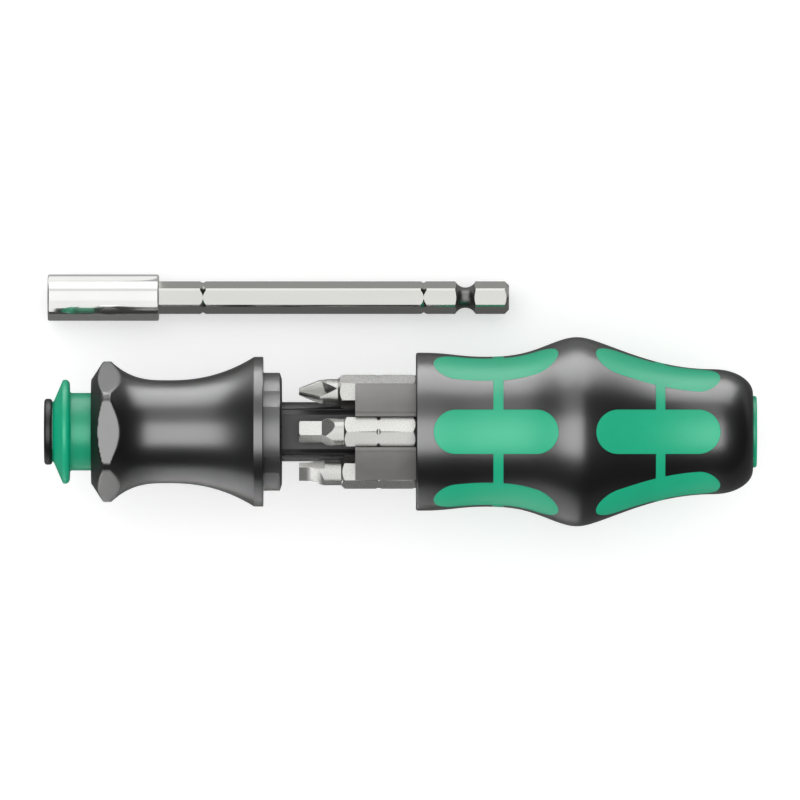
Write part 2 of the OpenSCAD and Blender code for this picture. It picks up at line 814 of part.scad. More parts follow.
module collar_spring() {
    color("#b9bcc0")
        wound_wire(pocket_x0 + seat_gap, chuck_block_x0 - seat_gap, (pocket_r + chuck_r) / 2,
                   collar_wire_r, collar_coils);
}

// Green collar that is pushed back against its spring to free the blade
module lock_collar() {
    bore_r = chuck_r + slide_gap;
    color("#1fb784")
        turned(concat(
            [[collar_x0, bore_r], [collar_x0, collar_front_r - collar_edge],
             [collar_x0 + collar_edge, collar_front_r]],
            arc([collar_rim_x - collar_rim_w, collar_r - collar_rim_w], collar_rim_w,
                collar_rim_turn, 0, 2 * edge_steps),
            arc([collar_rim_x + edge_r, collar_neck_r + edge_r], edge_r, 180, 270, edge_steps),
            [[collar_x1, collar_neck_r], [collar_x1, pocket_r], [pocket_x0, pocket_r],
             [pocket_x0, land_r], [relief_x1, land_r], [relief_x1 - relief_slope_l, relief_r],
             [collar_x0 + collar_lip_l, relief_r], [collar_x0 + collar_lip_l, bore_r]]));
}

// Outline of a bit's neck from its point backwards, then the hexagon's front cone
module bit_blank(neck_r, hex_len) {
    hex_x0 = bit_x1 - hex_len;
    corner_r = bit_af / 2 / cos(30);
    cone_r = neck_r - bit_step;
    union() {
        bar(bit_x0, hex_x0 + over, neck_r);
        difference() {
            intersection() {
                hex_bar(hex_x0, bit_x1, bit_af);
                turned([[hex_x0, 0], [hex_x0, cone_r],
                        [hex_x0 + bit_cone_run * (corner_r - cone_r), corner_r],
                        [bit_x1 - bit_chamfer, corner_r], [bit_x1, corner_r - bit_chamfer],
                        [bit_x1, 0]]);
            }
            corner_notches(bit_x1 - bit_notch_x, corner_r, bit_notch_d);
        }
    }
}

// Small round notches that a ring groove leaves on the corners only
module corner_notches(x, corner_r, depth) {
    rotate([0, 90, 0])
        rotate_extrude()
            translate([corner_r - depth + notch_wheel, x])
                circle(r = notch_wheel);
}

// Long V-shaped cut whose bottom line climbs through two places and ends past the second
module flute_wedge(x0, r0, x1, r1, after) {
    slope = atan((r1 - r0) / (x1 - x0));
    half_w = flute_depth * tan(flute_wall);
    translate([bit_x0 + x1, 0, r1])
        rotate([0, -slope, 0])
            translate([-bit_len, 0, 0])
                rotate([90, 0, 90])
                    linear_extrude(bit_len + after)
                        polygon([[0, 0], [half_w, flute_depth], [-half_w, flute_depth]]);
}

// Flutes of a cross point, sunk between its four wings: the shallower of two wedges at each place
module cross_flutes(turn) {
    bend_x = flute_bend * cross_flute_l;
    for (quarter = [0:90:270])
        rotate([turn + quarter, 0, 0])
            intersection() {
                flute_wedge(0, flute_r0, bend_x, flute_r1, bit_len);
                flute_wedge(bend_x, flute_r1, cross_flute_l, cross_neck_r, over);
            }
}

module cross_cone(r_end) {
    turned([[bit_x0, 0], [bit_x0, cross_tip_r], [bit_x0 + cross_cone_l, r_end], [bit_x1, bit_af],
            [bit_x1, 0]]);
}

module cross_point(turn, ribbed) {
    difference() {
        intersection() {
            bit_blank(cross_neck_r, cross_hex_len);
            cross_cone(cross_neck_r);
        }
        difference() {
            cross_flutes(turn);
            if (ribbed)
                cross_ribs(turn);
        }
    }
}

// Thin ribs between the wings of the ribbed cross point
module cross_ribs(turn) {
    intersection() {
        cross_cone(rib_reach * cross_neck_r);
        for (quarter = [0, 90])
            rotate([turn + quarter, 0, 0])
                translate([bit_x0, -rib_t / 2, -cross_neck_r])
                    cube([cross_cone_l, rib_t, 2 * cross_neck_r]);
    }
}

// Ground face on one side of a point: flat at first, then rising along a round wheel in steps,
// or along a straight ramp in one step
module ground_face(half_t, neck_r, flat_l, rise_l, steps) {
    height = neck_r - half_t;
    wheel = (rise_l * rise_l + height * height) / (2 * height);
    reach = asin(rise_l / wheel);
    rotate([90, 0, 0])
        linear_extrude(4 * neck_r, center = true)
            polygon(concat(
                [[bit_x0 - over, half_t]],
                arc([bit_x0 + flat_l, half_t + wheel], wheel, 270, 270 + reach, steps),
                [[bit_x0 + flat_l + rise_l + run_out_l, neck_r + over], [bit_x0 - over, neck_r + over]]));
}

module tip_cone(r_tip, length) {
    turned([[bit_x0, 0], [bit_x0, r_tip], [bit_x0 + length, r_tip + length], [bit_x1, bit_af + length],
            [bit_x1, 0]]);
}

module square_point(turn) {
    intersection() {
        difference() {
            bit_blank(square_neck_r, square_hex_len);
            for (quarter = [0:90:270])
                rotate([turn + quarter, 0, 0])
                    ground_face(square_w / 2, square_neck_r, tip_l, square_rise_l, 1);
        }
        tip_cone(square_w / sqrt(2) - point_edge, point_edge);
    }
}

module slotted_point(turn) {
    difference() {
        bit_blank(slot_neck_r, bit_hex_len);
        for (half = [0, 180])
            rotate([turn + half, 0, 0])
                ground_face(slot_tip_t / 2, slot_neck_r, slot_flat_l, slot_rise_l, 2 * edge_steps);
        for (half = [0, 180])
            rotate([turn + half, 0, 0])
                translate([bit_x0 - over, slot_tip_w / 2, -slot_neck_r])
                    cube([slot_flat_l + slot_rise_l + over, slot_neck_r, 2 * slot_neck_r]);
    }
}

// A point of another section, on a neck that tapers down to it
module stepped_point(neck_r, point_r, hex_len) {
    step_x = bit_x0 + tip_l;
    cone_x = step_x + 2 * (neck_r - point_r);
    union() {
        intersection() {
            bit_blank(neck_r, hex_len);
            turned([[step_x, 0], [step_x, point_r], [cone_x, neck_r], [cone_x, bit_af], [bit_x1, bit_af],
                    [bit_x1, 0]]);
        }
        intersection() {
            children();
            tip_cone(point_r - point_edge, point_edge + seat_gap);
        }
    }
}

// Places a bit that was made on the axis: to its side, up, and turned on itself
module in_rack(y, z, turn) {
    translate([0, y, z])
        rotate([turn, 0, 0])
            children();
}

module bit_cross() {
    color("#c3c5c4")
        in_rack(side_bit_y, side_bit_z, 0)
            cross_point(cross_turn, false);
}

module bit_square() {
    color("#c3c5c4")
        in_rack(0, top_bit_z, 30)
            square_point(square_turn);
}

module bit_slotted() {
    color("#c3c5c4")
        in_rack(-side_bit_y, side_bit_z, 0)
            slotted_point(slot_turn);
}

module bit_ribbed_cross() {
    color("#c3c5c4")
        in_rack(side_bit_y, -side_bit_z, 0)
            cross_point(cross_turn, true);
}

module bit_hexagon() {
    color("#c3c5c4")
        in_rack(0, -top_bit_z, 30)
            stepped_point(square_neck_r, hex_tip_af / 2 / cos(30), square_hex_len)
                hex_bar(bit_x0, bit_x0 + tip_l + over, hex_tip_af);
}

module bit_six_lobe() {
    color("#c3c5c4")
        in_rack(-side_bit_y, -side_bit_z, 0)
            stepped_point(slot_neck_r, lobe_tip_r, bit_hex_len)
                drawn(bit_x0, bit_x0 + tip_l + over)
                    difference() {
                        circle(r = lobe_tip_r);
                        for (turn = [0:60:300])
                            rotate(turn)
                                translate([lobe_tip_r * lobe_cut_at, 0])
                                    circle(r = lobe_tip_r * lobe_cut_share);
                    }
}

module at_blade() {
    translate([0, blade_y, blade_z])
        children();
}

module blade_shaft() {
    corner_r = shaft_corner_d / 2;
    groove_d = corner_r - groove_r;
    groove_wheel = (groove_half * groove_half + groove_d * groove_d) / (2 * groove_d);
    color("#a9aaa8")
        at_blade()
            difference() {
                intersection() {
                    hex_bar(shaft_x0, blade_x1, bit_af);
                    turned([[shaft_x0, 0], [shaft_x0, corner_r], [blade_x1 - shaft_chamfer, corner_r],
                            [blade_x1, corner_r - shaft_chamfer], [blade_x1, 0]]);
                }
                for (s = [near_notch, far_notch])
                    turned([[blade_x1 - s - lock_notch_half - notch_over, corner_r + notch_over],
                            [blade_x1 - s, corner_r - lock_notch_d],
                            [blade_x1 - s + lock_notch_half + notch_over, corner_r + notch_over]]);
                rotate([0, 90, 0])
                    rotate_extrude()
                        translate([groove_r + groove_wheel, blade_x1 - groove_s])
                            circle(r = groove_wheel);
            }
}

module blade_sleeve() {
    color("#e6e7e8")
        at_blade()
            difference() {
                turned(concat(
                    [[blade_x0, 0]],
                    arc([blade_x0 + sleeve_edge, sleeve_r - sleeve_edge], sleeve_edge, 180, 90, edge_steps),
                    arc([sleeve_x1 - sleeve_edge, sleeve_r - sleeve_edge], sleeve_edge, 90, 0, edge_steps),
                    [[sleeve_x1, 0]]));
                hex_bar(blade_x0 - over, magnet_x0, bit_af + 2 * hex_play);
                bar(magnet_x0 - over, shaft_x0, magnet_r + seat_gap);
                hex_bar(shaft_x0 - seat_gap, sleeve_x1 + over, bit_af + seat_gap);
            }
}

module blade_magnet() {
    color("#8d8f92")
        at_blade()
            bar(magnet_x0 + seat_gap / 2, magnet_x0 + magnet_l, magnet_r);
}

handle_skin();
handle_core();
latch_housing();
latch_clip();
button_spring();
end_button();
grip_shell();
magazine_core();
bit_rack();
tail_pin();
chuck_body();
lock_balls();
nose_ring();
collar_spring();
lock_collar();
bit_cross();
bit_square();
bit_slotted();
bit_ribbed_cross();
bit_hexagon();
bit_six_lobe();
blade_shaft();
blade_sleeve();
blade_magnet();
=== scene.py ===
# %% [markdown]
# # A screwdriver that holds its own bits
# This lesson dresses a hand tool for a studio picture. The tool lies on a pale table, pulled open
# so that its magazine of bits shows, and a loose two-length blade lies beside it.
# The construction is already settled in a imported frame, so every piece here is built at the place
# and size that the frame gives. The tool's lengths are written in millimetres and turned to
# metres once. Names that end in _M, and the studio's distances, are in metres.

# %% Load the fixed frame
import json
import math

import bmesh
import bpy
from mathutils import Matrix, Vector

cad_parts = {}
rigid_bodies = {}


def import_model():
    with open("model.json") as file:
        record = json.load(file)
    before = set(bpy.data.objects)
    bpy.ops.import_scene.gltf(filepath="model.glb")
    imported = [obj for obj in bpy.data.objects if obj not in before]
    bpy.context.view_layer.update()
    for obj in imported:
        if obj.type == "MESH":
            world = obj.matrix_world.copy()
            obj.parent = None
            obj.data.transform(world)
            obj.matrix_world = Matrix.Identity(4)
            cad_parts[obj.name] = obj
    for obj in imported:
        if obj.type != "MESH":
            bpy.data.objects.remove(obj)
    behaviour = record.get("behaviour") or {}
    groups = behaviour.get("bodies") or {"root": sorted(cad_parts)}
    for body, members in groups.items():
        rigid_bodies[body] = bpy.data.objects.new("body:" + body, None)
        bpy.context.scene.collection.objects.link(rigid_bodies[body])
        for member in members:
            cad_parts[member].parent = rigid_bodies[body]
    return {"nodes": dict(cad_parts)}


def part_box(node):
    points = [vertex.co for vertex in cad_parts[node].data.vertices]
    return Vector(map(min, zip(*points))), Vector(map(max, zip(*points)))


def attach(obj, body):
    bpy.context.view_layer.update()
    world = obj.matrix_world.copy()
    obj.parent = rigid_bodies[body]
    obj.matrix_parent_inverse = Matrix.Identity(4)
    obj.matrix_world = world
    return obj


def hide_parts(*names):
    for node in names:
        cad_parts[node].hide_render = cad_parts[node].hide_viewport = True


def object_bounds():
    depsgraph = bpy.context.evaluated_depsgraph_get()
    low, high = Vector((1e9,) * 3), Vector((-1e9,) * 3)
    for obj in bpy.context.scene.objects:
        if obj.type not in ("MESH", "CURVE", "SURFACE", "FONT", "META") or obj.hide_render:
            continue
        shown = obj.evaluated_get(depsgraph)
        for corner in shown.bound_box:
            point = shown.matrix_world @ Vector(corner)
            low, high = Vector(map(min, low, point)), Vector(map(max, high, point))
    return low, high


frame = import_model()
cad_low, cad_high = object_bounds()
MM = 0.001
cad_size = [round((high - low) / MM, 2) for low, high in zip(cad_low, cad_high)]
print("nodes", len(frame["nodes"]), "box in mm", cad_size)

# %% [markdown]
# ## The camera
# The picture was taken straight from above with a very long lens, so nothing shrinks with
# distance. The picture's scale is 4.65 pixels a millimetre, and the tool's nose lies 44.3 pixels
# from the left edge. Those values place the camera.

# %% Camera at the picture's viewing angle
PICTURE_PX = 800
PX_PER_MM = 4.65
NOSE_PX = (44.3, 431.7)
LENS_MM = 1000
SENSOR_MM = 36
SEES_TO_M = 50

view_width = PICTURE_PX / PX_PER_MM
view_centre_x = (PICTURE_PX / 2 - NOSE_PX[0]) / PX_PER_MM
view_centre_y = (NOSE_PX[1] - PICTURE_PX / 2) / PX_PER_MM
camera_height = view_width * LENS_MM / SENSOR_MM
camera_data = bpy.data.cameras.new("studio_camera")
camera_data.lens = LENS_MM
camera_data.sensor_width = SENSOR_MM
camera_data.clip_end = SEES_TO_M
camera = bpy.data.objects.new("studio_camera", camera_data)
bpy.context.scene.collection.objects.link(camera)
camera.location = Vector((view_centre_x, view_centre_y, camera_height)) * MM
bpy.context.scene.camera = camera
print("camera stands", round(camera.location.z, 2), "m above the tool")

# %% [markdown]
# ## Colour and shader helpers
# Colours are written as the hex values that an eye would pick from a screen. The renderer works
# with light, which is linear, so one function turns a hex value to linear light.
# One more function adds any shader node with its settings and links.

# %% Helpers for materials


def linear(hex_colour):
    """The linear colour, with alpha, of an sRGB hex value such as '#1a1a1b'."""
    channels = [int(hex_colour[i:i + 2], 16) / 255 for i in (1, 3, 5)]
    return [c / 12.92 if c <= 0.04045 else ((c + 0.055) / 1.055) ** 2.4 for c in channels] + [1.0]


def emptied(owner):
    """Gives a material or a world an empty node tree, and hands the tree back."""
    owner.use_nodes = True
    owner.node_tree.nodes.clear()
    return owner.node_tree


def add_node(tree, kind, inputs=None, **settings):
    """Adds one shader node. inputs maps a socket to a value, or to the output that feeds it."""
    made = tree.nodes.new(kind)
    for name, value in settings.items():
        setattr(made, name, value)
    for socket, value in (inputs or {}).items():
        if isinstance(value, bpy.types.NodeSocket):
            tree.links.new(value, made.inputs[socket])
        else:
            made.inputs[socket].default_value = value
    return made


def grains_of(size_mm):
    """Noise scale that gives features of about this size in object coordinates."""
    return 1 / (size_mm * MM)


# %% [markdown]
# ## The finishes
# Every finish is one shader with three small disturbances: a colour that drifts a little, a
# roughness that drifts with handling, and a bump for the grain of the surface. The drift is what
# keeps a plastic from looking like paint in a drawing.

# %% One recipe for a moulded, ground or polished surface
DRIFT_MM = 9
NOISE_SPAN = {"From Min": 0.3, "From Max": 0.7}  # nearly all values of a noise lie in it


def finish(name, colour, roughness, grain_mm, grain_depth_mm, drift=0.12, handling=0.06,
           metallic=0.0, streak=None, **uniform):
    """A surface with colour drift, handling marks and a fine grain, all in millimetres."""
    made = bpy.data.materials.new(name)
    tree = emptied(made)
    place = add_node(tree, "ShaderNodeTexCoord").outputs["Object"]
    if streak:
        place = add_node(tree, "ShaderNodeMapping",
                         {"Vector": place, "Scale": streak}).outputs["Vector"]
    broad = add_node(tree, "ShaderNodeTexNoise",
                     {"Vector": place, "Scale": grains_of(DRIFT_MM), "Detail": 3.0})
    grain = add_node(tree, "ShaderNodeTexNoise",
                     {"Vector": place, "Scale": grains_of(grain_mm), "Detail": 4.0,
                      "Roughness": 0.6})
    shade = add_node(tree, "ShaderNodeMapRange",
                     {"Value": broad.outputs["Fac"], **NOISE_SPAN,
                      "To Min": 1 - drift, "To Max": 1 + drift})
    tint = add_node(tree, "ShaderNodeVectorMath",
                    {0: linear(colour)[:3], "Scale": shade.outputs["Result"]}, operation="SCALE")
    rough = add_node(tree, "ShaderNodeMapRange",
                     {"Value": grain.outputs["Fac"], **NOISE_SPAN,
                      "To Min": roughness - handling, "To Max": roughness + handling})
    bump = add_node(tree, "ShaderNodeBump",
                    {"Height": grain.outputs["Fac"], "Distance": grain_depth_mm * MM,
                     "Strength": 1.0})
    shader = add_node(tree, "ShaderNodeBsdfPrincipled",
                      {"Base Color": tint.outputs["Vector"], "Roughness": rough.outputs["Result"],
                       "Normal": bump.outputs["Normal"], "Metallic": metallic, **uniform})
    add_node(tree, "ShaderNodeOutputMaterial", {"Surface": shader.outputs["BSDF"]})
    return made


# %% [markdown]
# The handle's skin and the grip are glass-filled polyamide out of a spark-eroded mould. The green
# core is polypropylene. Both mirror a little light, and the filled plastic mirrors more, so each
# has its own specular level. A metal keeps the default.

# %% Plastics and rubber
GLASS_FILLED = {"Specular IOR Level": 0.7}
UNFILLED = {"Specular IOR Level": 0.22}

# Deep black under a soft, wide sheen, with the fine pitting of the mould.
black_polyamide = finish("black_polyamide", "#0E0E0F", 0.32, 0.22, 0.004, handling=0.03,
                         **GLASS_FILLED)
# An even strong green with a silky face, which hardly mirrors anything.
green_polypropylene = finish("green_polypropylene", "#00A67B", 0.39, 0.3, 0.003, drift=0.03,
                             handling=0.03, **UNFILLED)
# The same green on the collar and the button, from smoother moulds.
green_trim_plastic = finish("green_trim_plastic", "#00A67B", 0.39, 0.3, 0.002, drift=0.03,
                            handling=0.03, **UNFILLED)
# Dull black, which swallows the light on the nose.
nitrile_rubber = finish("nitrile_rubber", "#0f0f10", 0.42, 0.2, 0.004, **UNFILLED)
# Greyish black with a sheen, so that the splines of the stub stand out.
core_polyamide = finish("core_polyamide", "#1E1E20", 0.4, 0.25, 0.003, **GLASS_FILLED)
# Painted shade: the same black with less sheen, for the tube that lies in the shade between the
# bits.
tube_polyamide = finish("tube_polyamide", "#1E1E20", 0.45, 0.25, 0.003, **UNFILLED)
# Warm mid grey and matt, as an unpainted moulding.
rack_polyamide = finish("rack_polyamide", "#6E6C6A", 0.45, 0.2, 0.004, **UNFILLED)

# %% [markdown]
# The bits are hardened steel, blasted after grinding. The blade's shaft is drawn bar under satin
# nickel, and its sleeve is polished. Its groove is darker and rougher than the bar, and the darker
# colour is painted shade in the groove. Polished nickel is a little less than fully metallic here,
# which lifts the dark lines in its mirror image as a clear protective film does.

# %% Metals
# Light grey flats that glitter in fine specks.
blasted_steel = finish("blasted_steel", "#C0C0BD", 0.3, 0.16, 0.008, drift=0.05, metallic=1.0)
# A calm, silky mirror with faint lines along the bar.
satin_nickel = finish("satin_nickel", "#C0C0BC", 0.17, 0.12, 0.001, drift=0.03, handling=0.03,
                      metallic=1.0, streak=(0.15, 1, 1))
# A bright mirror with sharp bands.
polished_nickel = finish("polished_nickel", "#DADAD8", 0.1, 0.3, 0.0004, drift=0.02,
                         handling=0.02, metallic=0.94)
# Painted shade in the groove: darker than the bar on each side of it, and duller.
shaded_groove_steel = finish("shaded_groove_steel", "#7A7A78", 0.34, 0.1, 0.001, handling=0.03, metallic=1.0)
# Grey with a soft shine that runs round the wire.
spring_wire = finish("spring_wire", "#A8A8A8", 0.3, 0.2, 0.001, metallic=1.0)
# Dark grey and grainy, as pressed powder is.
sintered_magnet = finish("sintered_magnet", "#6A6A6C", 0.5, 0.15, 0.004, metallic=1.0)
print("materials", len(bpy.data.materials))

# %% [markdown]
# ## Shape helpers
# Most of this tool is turned, so its pieces start as a flat outline of distance and radius that
# is spun round the tool's own line. Windows, sockets and flats are then cut with other solids.

# %% Outlines


def arc(centre, radius, start, end, steps=8):
    """Points on a rounded corner, from one angle to another in degrees."""
    turns = [math.radians(start + (end - start) * i / steps) for i in range(steps + 1)]
    return [(centre[0] + radius * math.cos(t), centre[1] + radius * math.sin(t)) for t in turns]


def spaced(start, end, step):
    """Even places from just after start up to end, about one step apart."""
    count = math.ceil((end - start) / step)
    return [start + (end - start) * i / count for i in range(1, count + 1)]


def eased(share, lean):
    """Smooth climb from 0 to 1, which stays low for longer where lean is over 1."""
    return (1 - math.cos(math.pi * share ** lean)) / 2


# %% Solids from outlines


def spun(outline, steps=240):
    """Turns a closed outline of distance and radius, in millimetres, into a round solid."""
    bm = bmesh.new()
    corners = [bm.verts.new((x * MM, 0, r * MM)) for x, r in outline]
    edges = [bm.edges.new((a, b)) for a, b in zip(corners, corners[1:] + corners[:1])]
    bmesh.ops.spin(bm, geom=corners + edges, cent=(0, 0, 0), axis=(1, 0, 0), dvec=(0, 0, 0),
                   angle=2 * math.pi, steps=steps, use_merge=True, use_duplicate=False)
    bmesh.ops.remove_doubles(bm, verts=bm.verts, dist=1e-7)
    bmesh.ops.dissolve_degenerate(bm, edges=bm.edges, dist=1e-8)
    bmesh.ops.recalc_face_normals(bm, faces=bm.faces)
    return bm


def raised(bm, height):
    """Pushes a flat face up into a solid. Both ends of the solid stay level."""
    pushed = bmesh.ops.extrude_face_region(bm, geom=bm.faces[:])
    tops = [part for part in pushed["geom"] if isinstance(part, bmesh.types.BMVert)]
    bmesh.ops.translate(bm, verts=tops, vec=(0, 0, height * MM))


def prism(segments, radius, start, end):
    """A straight bar along X with this many sides, in millimetres."""
    bm = bmesh.new()
    bmesh.ops.create_circle(bm, cap_ends=True, segments=segments, radius=radius * MM)
    raised(bm, end - start)
    along_x = Matrix(((0, 0, 1, 0), (1, 0, 0, 0), (0, 1, 0, 0), (0, 0, 0, 1)))  # up becomes X
    bmesh.ops.transform(bm, matrix=Matrix.Translation((start * MM, 0, 0)) @ along_x,
                        verts=bm.verts)
    bmesh.ops.recalc_face_normals(bm, faces=bm.faces)
    return bm


# %% Pieces from solids


def piece_from(bm, name):
    """Puts a finished bmesh in the scene as an object at the origin."""
    mesh = bpy.data.meshes.new(name)
    bm.to_mesh(mesh)
    bm.free()
    made = bpy.data.objects.new(name, mesh)
    bpy.context.scene.collection.objects.link(made)
    return made


def combined(piece, tools, operation):
    """Cuts, joins or crosses a piece with each tool in turn and leaves one closed mesh."""
    for tool in tools:
        step = piece.modifiers.new("combine", "BOOLEAN")
        step.object = tool
        step.operation = operation
        step.solver = "MANIFOLD"
    bpy.context.view_layer.update()
    evaluated = piece.evaluated_get(bpy.context.evaluated_depsgraph_get())
    result = bpy.data.meshes.new_from_object(evaluated)
    old = piece.data
    piece.modifiers.clear()
    piece.data = result
    result.name = piece.name
    bpy.data.meshes.remove(old)
    for tool in tools:
        bpy.data.meshes.remove(tool.data)
    return piece


def smoothed(piece, crease=32):
    """Shades a piece smooth, apart from the edges that turn by more than the crease."""
    piece.data.shade_smooth()
    piece.data.set_sharp_from_angle(angle=math.radians(crease))
    return piece


def dressed(piece, material, body, replaced):
    """Gives a piece its finish, lets it ride on its body and stand for its node."""
    piece.data.materials.clear()
    piece.data.materials.append(material)
    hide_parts(replaced)
    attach(piece, body)
    print(piece.name, "has", len(piece.data.polygons), "faces")
    return piece


# %% [markdown]
# ## The handle
# The handle is moulded in two shots. A green core is moulded first, with raised pads and two
# raised rings, and the black skin is moulded over it so that pads and rings come flush. Painting
# green patches on one black body would be quicker, but the seam between two plastics is a real
# edge, so skin and core are two solids cut by the same pad shapes.
# Its outline climbs from a waist to a bulge and falls to the rear in two smooth waves. The crest
# between them is rounded a little more, so that a highlight runs across it without a kink.

# %% The handle's outline, by distance behind its mouth
MOUTH_R, WAIST_R, BULGE_R, REAR_R, END_R = 17.0, 16.13, 20.49, 13.44, 8.2
MOUTH_FLAT, WAIST_S, BULGE_S, REAR_S = 2.4, 14.1, 35.0, 64.1
WAIST_LEAN, BULGE_LEAN = 1.55, 0.69
CREST_REACH, CREST_STEPS = 2.0, 4
EDGE_R, OUTLINE_STEP, DOME_STEP = 0.5, 0.45, 5

handle_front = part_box("handle_skin")[0].x / MM
handle_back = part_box("handle_skin")[1].x / MM
dome_l = handle_back - handle_front - REAR_S


def handle_radius(s):
    """Radius of the handle at a distance behind its mouth, up to the dome at its end."""
    if s <= MOUTH_FLAT:
        return MOUTH_R
    if s <= WAIST_S:
        return MOUTH_R + (WAIST_R - MOUTH_R) * eased((s - MOUTH_FLAT) / (WAIST_S - MOUTH_FLAT), 1)
    if s <= BULGE_S:
        return WAIST_R + (BULGE_R - WAIST_R) * eased((s - WAIST_S) / (BULGE_S - WAIST_S),
                                                     WAIST_LEAN)
    return BULGE_R + (REAR_R - BULGE_R) * eased((s - BULGE_S) / (REAR_S - BULGE_S), BULGE_LEAN)


def rounded_radius(s):
    """The same radius averaged over a short reach to each side, which rounds the crest."""
    nearby = [handle_radius(s + CREST_REACH * i / CREST_STEPS)
              for i in range(-CREST_STEPS, CREST_STEPS + 1)]
    return sum(nearby) / len(nearby)


def handle_line(inset):
    """Outline of the handle's outside from mouth to end, drawn in by an inset."""
    corner = arc((EDGE_R, MOUTH_R - EDGE_R), EDGE_R, 180, 90)
    body = [(s, rounded_radius(s)) for s in spaced(EDGE_R, REAR_S, OUTLINE_STEP)]
    dome = [(REAR_S + dome_l * math.sin(math.radians(t)),
             END_R + (REAR_R - END_R) * math.cos(math.radians(t)))
            for t in range(DOME_STEP, 91, DOME_STEP)]
    return [(handle_front + s, r - inset) for s, r in corner + body + dome]


crest_r = max(rounded_radius(s) for s in spaced(WAIST_S, REAR_S, 0.1))
print("handle is", round(handle_back - handle_front, 1), "mm long and",
      round(2 * crest_r, 2), "mm across")

# %% The pads and rings that show green
PAD_L, PAD_W, PAD_COUNT, PAD_SEGMENTS = 26.7, 9.5, 6, 96
PAD_ROWS = ((17.2, 2.15), (52.0, 2.0))  # middle of a row behind the mouth, width of its ring
RING_SHIFT = 0.5
TOOL_IN_R, PAD_TOOL_START, TOOL_SPARE = 6, 5, 2


def pad_tool(middle_s, turn, grow):
    """A bar with two round ends that stands out from the tool's line, to cut one pad."""
    bm = bmesh.new()
    half_step = Matrix.Rotation(math.pi / PAD_SEGMENTS, 4, "Z")
    bmesh.ops.create_circle(bm, cap_ends=True, segments=PAD_SEGMENTS,
                            radius=(PAD_W / 2 + grow) * MM, matrix=half_step)
    for side in (-1, 1):
        half = [v for v in bm.verts if v.co.x * side > 0]
        bmesh.ops.translate(bm, verts=half, vec=(side * (PAD_L - PAD_W) / 2 * MM, 0, 0))
    raised(bm, BULGE_R + TOOL_SPARE)
    bmesh.ops.translate(bm, verts=bm.verts,
                        vec=((handle_front + middle_s) * MM, 0, PAD_TOOL_START * MM))
    bmesh.ops.rotate(bm, verts=bm.verts, cent=(0, 0, 0),
                     matrix=Matrix.Rotation(math.radians(turn), 3, "X"))
    bmesh.ops.recalc_face_normals(bm, faces=bm.faces)
    return piece_from(bm, "pad_tool")


def ring_tool(middle_s, width, grow):
    """A flat ring round the handle, to cut the band that joins one row of pads."""
    middle = handle_front + middle_s + RING_SHIFT
    x0, x1 = (middle + side * (width / 2 + grow) for side in (-1, 1))
    out_r = BULGE_R + TOOL_SPARE
    return piece_from(spun([(x0, TOOL_IN_R), (x0, out_r), (x1, out_r), (x1, TOOL_IN_R)]),
                      "ring_tool")


def green_zones(grow):
    """Everything that shows green, as one solid."""
    rows = [pad_tool(s, i * 360 / PAD_COUNT, grow) for s, width in PAD_ROWS
            for i in range(PAD_COUNT)]
    rings = [ring_tool(s, width, grow) for s, width in PAD_ROWS]
    return combined(rows[0], rows[1:] + rings, "UNION")


# %% Black skin
SKIN_T, SEAM = 1.2, 0.05
CAVITY_R, LIP_W, END_SKIN, BUTTON_BORE_R = 13.8, 0.8, 1.0, 7.8
core_front, core_back = handle_front + LIP_W, handle_back - END_SKIN


def shell(depth, name):
    """A wall under the handle's outside, closed by a lip at the mouth and one at the back."""
    inner = [point for point in reversed(handle_line(depth)) if core_front < point[0] < core_back]
    outline = ([(handle_front, CAVITY_R)] + handle_line(0)
               + [(handle_back, BUTTON_BORE_R), (core_back, BUTTON_BORE_R)]
               + inner + [(core_front, CAVITY_R)])
    return piece_from(spun(outline), name)


skin = shell(SKIN_T - SEAM, "handle_black_skin")
combined(skin, [green_zones(SEAM)], "DIFFERENCE")
dressed(smoothed(skin), black_polyamide, "handle", "handle_skin")

# %% Green core, with the magazine's cavity, the housing's bore and the button's chamber
PAD_ROOT = 0.4
CAVITY_BACK, HOUSING_PLAY = 119.0, 0.1
CHAMBER_R, CHAMBER_BACK = 8.8, 150.4

housing_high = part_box("latch_housing")[1]
housing_r = housing_high.z / MM + HOUSING_PLAY
chamber_x = housing_high.x / MM + SEAM
pads = shell(SKIN_T + PAD_ROOT, "pads")
combined(pads, [green_zones(0)], "INTERSECT")
core_line = [point for point in handle_line(SKIN_T) if core_front < point[0] < core_back]
core = piece_from(spun(
    [(core_front, CAVITY_R), (core_front, MOUTH_R - SKIN_T)] + core_line
    + [(core_back, core_line[-1][1]), (core_back, BUTTON_BORE_R), (CHAMBER_BACK, BUTTON_BORE_R),
       (CHAMBER_BACK, CHAMBER_R), (chamber_x, CHAMBER_R), (chamber_x, housing_r),
       (CAVITY_BACK + CAVITY_R - housing_r, housing_r), (CAVITY_BACK, CAVITY_R)]),
    "handle_green_core")
combined(core, [pads], "UNION")
dressed(smoothed(core), green_polypropylene, "handle", "handle_core")

# %% [markdown]
# ## The front grip
# The grip is a concave spool with a collar at each end. Six flats are ground round the front
# collar so that the tool does not roll off a bench. On a spun mesh the flats are made by drawing
# every point that stands outside a flat back on to it, with a short blend that rounds the edges.

